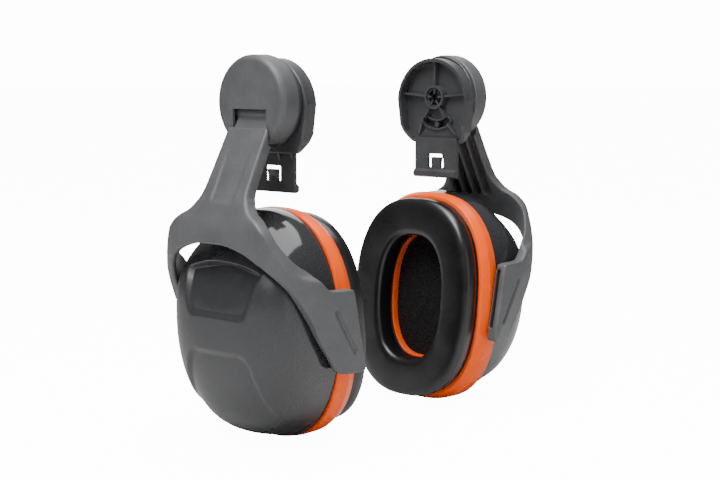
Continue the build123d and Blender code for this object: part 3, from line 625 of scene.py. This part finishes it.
def smoothLine(points, perRun=8):
    # Catmull-Rom curve through the points: each run's tangents are half the chord of its neighbours
    p = np.asarray(points, float)
    before, after = np.vstack([2 * p[0] - p[1], p[:-2]]), np.vstack([p[2:], 2 * p[-1] - p[-2]])
    t = np.linspace(0, 1, perRun, endpoint=False)[None, :, None]
    a, b = p[:-1, None], p[1:, None]
    outA, outB = (p[1:] - before)[:, None] / 2, (after - p[:-1])[:, None] / 2
    curve = (2 * t ** 3 - 3 * t ** 2 + 1) * a + (t ** 3 - 2 * t ** 2 + t) * outA
    curve = curve + (3 * t ** 2 - 2 * t ** 3) * b + (t ** 3 - t ** 2) * outB
    return np.vstack([curve.reshape(-1, 2), p[-1:]])


def outlineDistance(points, u, v):
    # distance from each (u, v) to a closed outline, negative inside it by the crossing rule
    best = np.full(np.broadcast(u, v).shape, 1e9)
    inside = np.zeros(best.shape, bool)
    for (ax, ay), (bx, by) in zip(points, np.roll(points, -1, axis=0)):
        ex, ey = bx - ax, by - ay
        t = np.clip(((u - ax) * ex + (v - ay) * ey) / max(ex * ex + ey * ey, 1e-9), 0, 1)
        best = np.minimum(best, np.hypot(u - ax - t * ex, v - ay - t * ey))
        if ey:
            inside ^= ((ay > v) != (by > v)) & (u < ax + ex * (v - ay) / ey)
    return np.where(inside, -best, best)


def planDistance(x, y, reach, halfY, power):
    # superellipse in plan in front of the root and a straight side behind it, scaled to a distance
    u, v = np.maximum(x - yoke["root"], 0) / reach, np.abs(y) / halfY
    g = (u ** power + v ** power + 1e-9) ** (1 / power)
    slope = np.sqrt((u ** (power - 1) / reach) ** 2 + (v ** (power - 1) / halfY) ** 2) / g ** (power - 1)
    return (g - 1) / np.maximum(slope, 1e-3)


def capsuleDistance(u, v, start, end, radius):
    ex, ey = end[0] - start[0], end[1] - start[1]
    t = np.clip(((u - start[0]) * ex + (v - start[1]) * ey) / (ex * ex + ey * ey), 0, 1)
    return np.hypot(u - start[0] - t * ex, v - start[1] - t * ey) - radius


def yokeField(x, y, z):
    height = z - yoke["hub"]
    angle = math.radians(yoke["slope"])
    hx, hz = yoke["hinge"]
    out = (x - hx) * math.cos(angle) + (z - hz) * math.sin(angle)
    along = (x - hx) * math.sin(angle) - (z - hz) * math.cos(angle)
    # shallow panel down the outer face: narrow sides, a long bevel at its foot, and no step at its top
    narrow = easeStep((9.6 - 0.03 * along - np.abs(y)) / 2.0)
    dent = yoke["panelDepth"] * narrow * easeStep((50 - along) / 5.0) * easeStep((along - 14) / 22)
    stemOut = out - yoke["faceOut"] + dent
    outer = softMax(planDistance(x, y, *yoke["outer"]), stemOut, 4.0)
    inner = softMax(planDistance(x, y, *yoke["inner"]), out - yoke["faceIn"], 5.0)
    # hollows down the inner side of the stem, with three ribs left between them
    hollow = np.minimum.reduce([
        softMax(np.abs(y - c) - yoke["hollowHalf"], np.abs(along - yoke["hollowMiddle"]) - yoke["hollowReach"], 2.0)
        for c in yoke["hollows"]
    ])
    hollow = np.maximum(hollow, out - (yoke["faceIn"] + yoke["ribDepth"]))
    front = outlineDistance(
        np.vstack([smoothLine(stemOutline), smoothLine(archOutline)[:-1],
                   (smoothLine(archOutline) * (-1, 1))[::-1], (smoothLine(stemOutline) * (-1, 1))[::-1]]),
        y[0], height[0],
    )[None]
    arm = outlineDistance(
        np.vstack([smoothLine(armOutline), [(94.0, 10.0), (125.0, 10.0), (125.0, -62.0)]]),
        x[:, 0], height[0, :1],
    )[:, None, :]
    middle = np.maximum(np.abs(y) - 33, -74 - height)
    field = softMax(outer, -inner, 0.8)
    field = softMax(field, front, yoke["edgeRound"])
    field = softMax(field, np.minimum(arm, middle), yoke["edgeRound"])
    # the pads are bevelled outboard of a fold that runs down to the tip
    foldTop, foldFoot = np.array(yoke["foldTop"]), np.array(yoke["foldFoot"])
    run = (foldFoot - foldTop) / np.linalg.norm(foldFoot - foldTop)
    bevel = yoke["foldBevel"]
    away = (np.abs(y) - yoke["outer"][1]) + bevel * ((height - foldTop[1]) * run[0] - (x - foldTop[0]) * run[1])
    field = softMax(field, away / math.hypot(1, bevel), 0.35)
    groove = capsuleDistance(x, height, yoke["grooveTop"], yoke["grooveFoot"], yoke["grooveHalf"])
    field = softMax(field, -np.maximum(groove, yoke["outer"][1] - yoke["grooveDepth"] - np.abs(y)), 0.4)
    # shoulders stop clear of the cap, and the neck passes through its window to the hinge,
    # sunk a little behind the cap's face where it goes in
    sweep = np.maximum(np.hypot(y, height) - yoke["capReach"], x - yoke["capFront"])
    field = softMax(field, -sweep, 0.8)
    sunk = yoke["neckSunk"] * (1 - easeStep((along - 7) / 9))
    neck = np.maximum(softMax(stemOut + sunk, yoke["faceIn"] - out, 0.6), np.abs(y) - yoke["neckHalf"])
    neck = np.maximum(neck, np.maximum(-along, along - yoke["neckLength"]))
    barrel = np.maximum(np.hypot(x - hx, z - hz) - yoke["barrelRadius"], np.abs(y) - yoke["neckHalf"])
    field = np.minimum(field, np.minimum(neck, barrel))
    field = softMax(field, -hollow, 0.8)
    field = np.maximum(field, yoke["boreRadius"] - np.hypot(x - hx, z - hz))
    # pegs above the arch
    peg = np.minimum.reduce([np.hypot(y - c, along - yoke["pegAlong"]) for c in yoke["pegs"]]) - yoke["pegRadius"]
    pegs = np.maximum(peg, np.maximum(yoke["faceIn"] - 0.3 - out, out - 0.5))
    field = np.minimum(field, pegs)
    # track for the slide shoe: a pocket round the trunnion and a wider slot that is open towards the head
    lean = math.radians(yoke["leanAngle"])
    u = (x - yoke["trunnion"][0]) * math.cos(lean) - (z - yoke["trunnion"][1]) * math.sin(lean)
    v = (x - yoke["trunnion"][0]) * math.sin(lean) + (z - yoke["trunnion"][1]) * math.cos(lean)
    track = np.minimum(
        np.maximum(np.abs(u) - 4.7, np.abs(v + 1) - 10.3),
        np.maximum(np.abs(u + 14.15) - 9.55, np.abs(v + 0.5) - 15.5),
    )
    gap = np.maximum(np.abs(np.abs(y) - yoke["trackPlane"]) - yoke["trackHalf"], track)
    low, high = yoke["tiltSlot"]
    slot = np.maximum(capsuleDistance(u, v, (0, low), (0, high), yoke["tiltSlotHalf"]), np.abs(y) - 45)
    return np.maximum(np.maximum(field, -gap), -slot)


def surfaceOfField(field, low, step):
    # one point in each cell that the surface passes through, at the mean of its edge crossings,
    # and one square across each grid edge whose ends lie on different sides
    shape = np.array(field.shape)
    total, count = np.zeros(tuple(shape - 1) + (3,)), np.zeros(tuple(shape - 1))
    crossings = []
    for axis in range(3):
        first = np.take(field, range(shape[axis] - 1), axis)
        second = np.take(field, range(1, shape[axis]), axis)
        at = np.argwhere((first < 0) != (second < 0))
        a, b = first[tuple(at.T)], second[tuple(at.T)]
        spot = at.astype(float)
        spot[:, axis] += a / (a - b)
        others = [i for i in range(3) if i != axis]
        keep = np.all((at[:, others] > 0) & (at[:, others] < shape[others] - 1), axis=1)
        at, spot, a = at[keep], spot[keep], a[keep]
        around = []
        for i, j in ((0, 0), (1, 0), (1, 1), (0, 1)):
            cell = at.copy()
            cell[:, others[0]] -= i
            cell[:, others[1]] -= j
            np.add.at(total, tuple(cell.T), spot)
            np.add.at(count, tuple(cell.T), 1)
            around.append(cell)
        crossings.append((np.stack(around, 1), (a < 0) ^ (axis == 1)))
    used = count > 0
    number = np.full(used.shape, -1)
    number[used] = np.arange(used.sum())
    points = low + step * total[used] / count[used][:, None]
    quads = []
    for cells, turned in crossings:
        ids = number[cells[..., 0], cells[..., 1], cells[..., 2]]
        quads.append(np.where(turned[:, None], ids[:, ::-1], ids))
    return points, np.concatenate(quads)


def yokeSurface():
    step = yoke["step"]
    low, high = np.array((49.0, -51.0, 34.5)), np.array((109.0, 51.0, 167.0))
    x, y, z = (np.arange(a, b, step) for a, b in zip(low, high))
    x, y, z = x[:, None, None], y[None, :, None], z[None, None, :]
    return surfaceOfField(yokeField(x, y, z), low, step)


def makeYokes():
    points, quads = yokeSurface()
    print("yoke surface:", len(points), "points")
    for side, hand in sides:
        piece = meshFromArrays(side + "YokeArm", points, quads, hand=hand)
        finishPiece(piece, side + "_arm", "arm_plastic", finishes["armNylon"], side + "_yoke_arm")


# ---- moulded pieces taken from the frame ----

cadFinish = dict(
    helmet_adapter="mountNylon", swivel_base="mountNylon", swivel_cap="armNylon", pivot_screw="screwSteel",
    pivot_washer="screwSteel", hinge_pin="steel", leaf_spring="steel",
    slide_shoe_rear="shoeAcetal", slide_shoe_front="shoeAcetal", cushion_plate="mountNylon",
)


def paintCadNodes():
    for side, _ in sides:
        for part, finish in cadFinish.items():
            node = cadNodes[side + "_" + part]
            node.data.materials.clear()
            node.data.materials.append(finishes[finish])


def makeFloor():
    floor = meshFromArrays(
        "studioFloor", [(-9000, -9000, -0.4), (9000, -9000, -0.4), (9000, 9000, -0.4), (-9000, 9000, -0.4)],
        [(0, 1, 2, 3)],
    )
    material, tree, shader, place = newMaterial("whitePaper")
    fleck = addNode(tree, "ShaderNodeTexNoise", {"Vector": place, "Scale": perMetre(40.0)})
    colour = mixedColour(tree, fleck.outputs["Fac"], "#d4d4d4", studio["paperHex"])
    tree.links.new(colour.outputs["Color"], shader.inputs["Base Color"])
    shader.inputs["Roughness"].default_value = 0.9
    # the paper is lit from below as well, which lights what is seen and not the object
    path = addNode(tree, "ShaderNodeLightPath")
    glow = addNode(tree, "ShaderNodeMath", {0: path.outputs["Is Camera Ray"], 1: studio["seenWhite"] - 0.9},
                   operation="MULTIPLY")
    tree.links.new(glow.outputs["Value"], shader.inputs["Emission Strength"])
    shader.inputs["Emission Color"].default_value = (1, 1, 1, 1)
    floor.data.materials.append(material)


def makeRoom():
    # bright behind the object, dimmer as a source of light, and dimmest low down
    world = bpy.data.worlds.new("whiteStudio")
    bpy.context.scene.world = world
    world.use_nodes = True
    tree = world.node_tree
    way = addNode(tree, "ShaderNodeTexCoord").outputs["Generated"]
    parts = addNode(tree, "ShaderNodeSeparateXYZ", {"Vector": way})
    lift = addNode(tree, "ShaderNodeMapRange",
                   {"Value": parts.outputs["Z"], "From Min": -0.2, "From Max": 0.9, "To Min": 0.2, "To Max": 1.8})
    amount = addNode(tree, "ShaderNodeMath", {0: lift.outputs["Result"], 1: studio["ambient"]}, operation="MULTIPLY")
    path = addNode(tree, "ShaderNodeLightPath")
    choice = addNode(tree, "ShaderNodeMix",
                     {"Factor": path.outputs["Is Camera Ray"], "A": amount.outputs["Value"],
                      "B": studio["seenWhite"]})
    tree.links.new(choice.outputs["Result"], tree.nodes["Background"].inputs["Strength"])
    tree.nodes["Background"].inputs["Color"].default_value = (1, 1, 1, 1)


makeCamera()
makeLamps()
makeFloor()
makeRoom()
print("stage made")
paintCadNodes()
print("frame painted")
for side, hand in sides:
    makeCupShell(side, hand)
    makeTrunnions(side, hand)
    makeSealRing(side, hand)
    makeCushion(side, hand)
    makeFoam(side, hand)
    print(side, "cup made")

makeYokes()
print("yokes made")
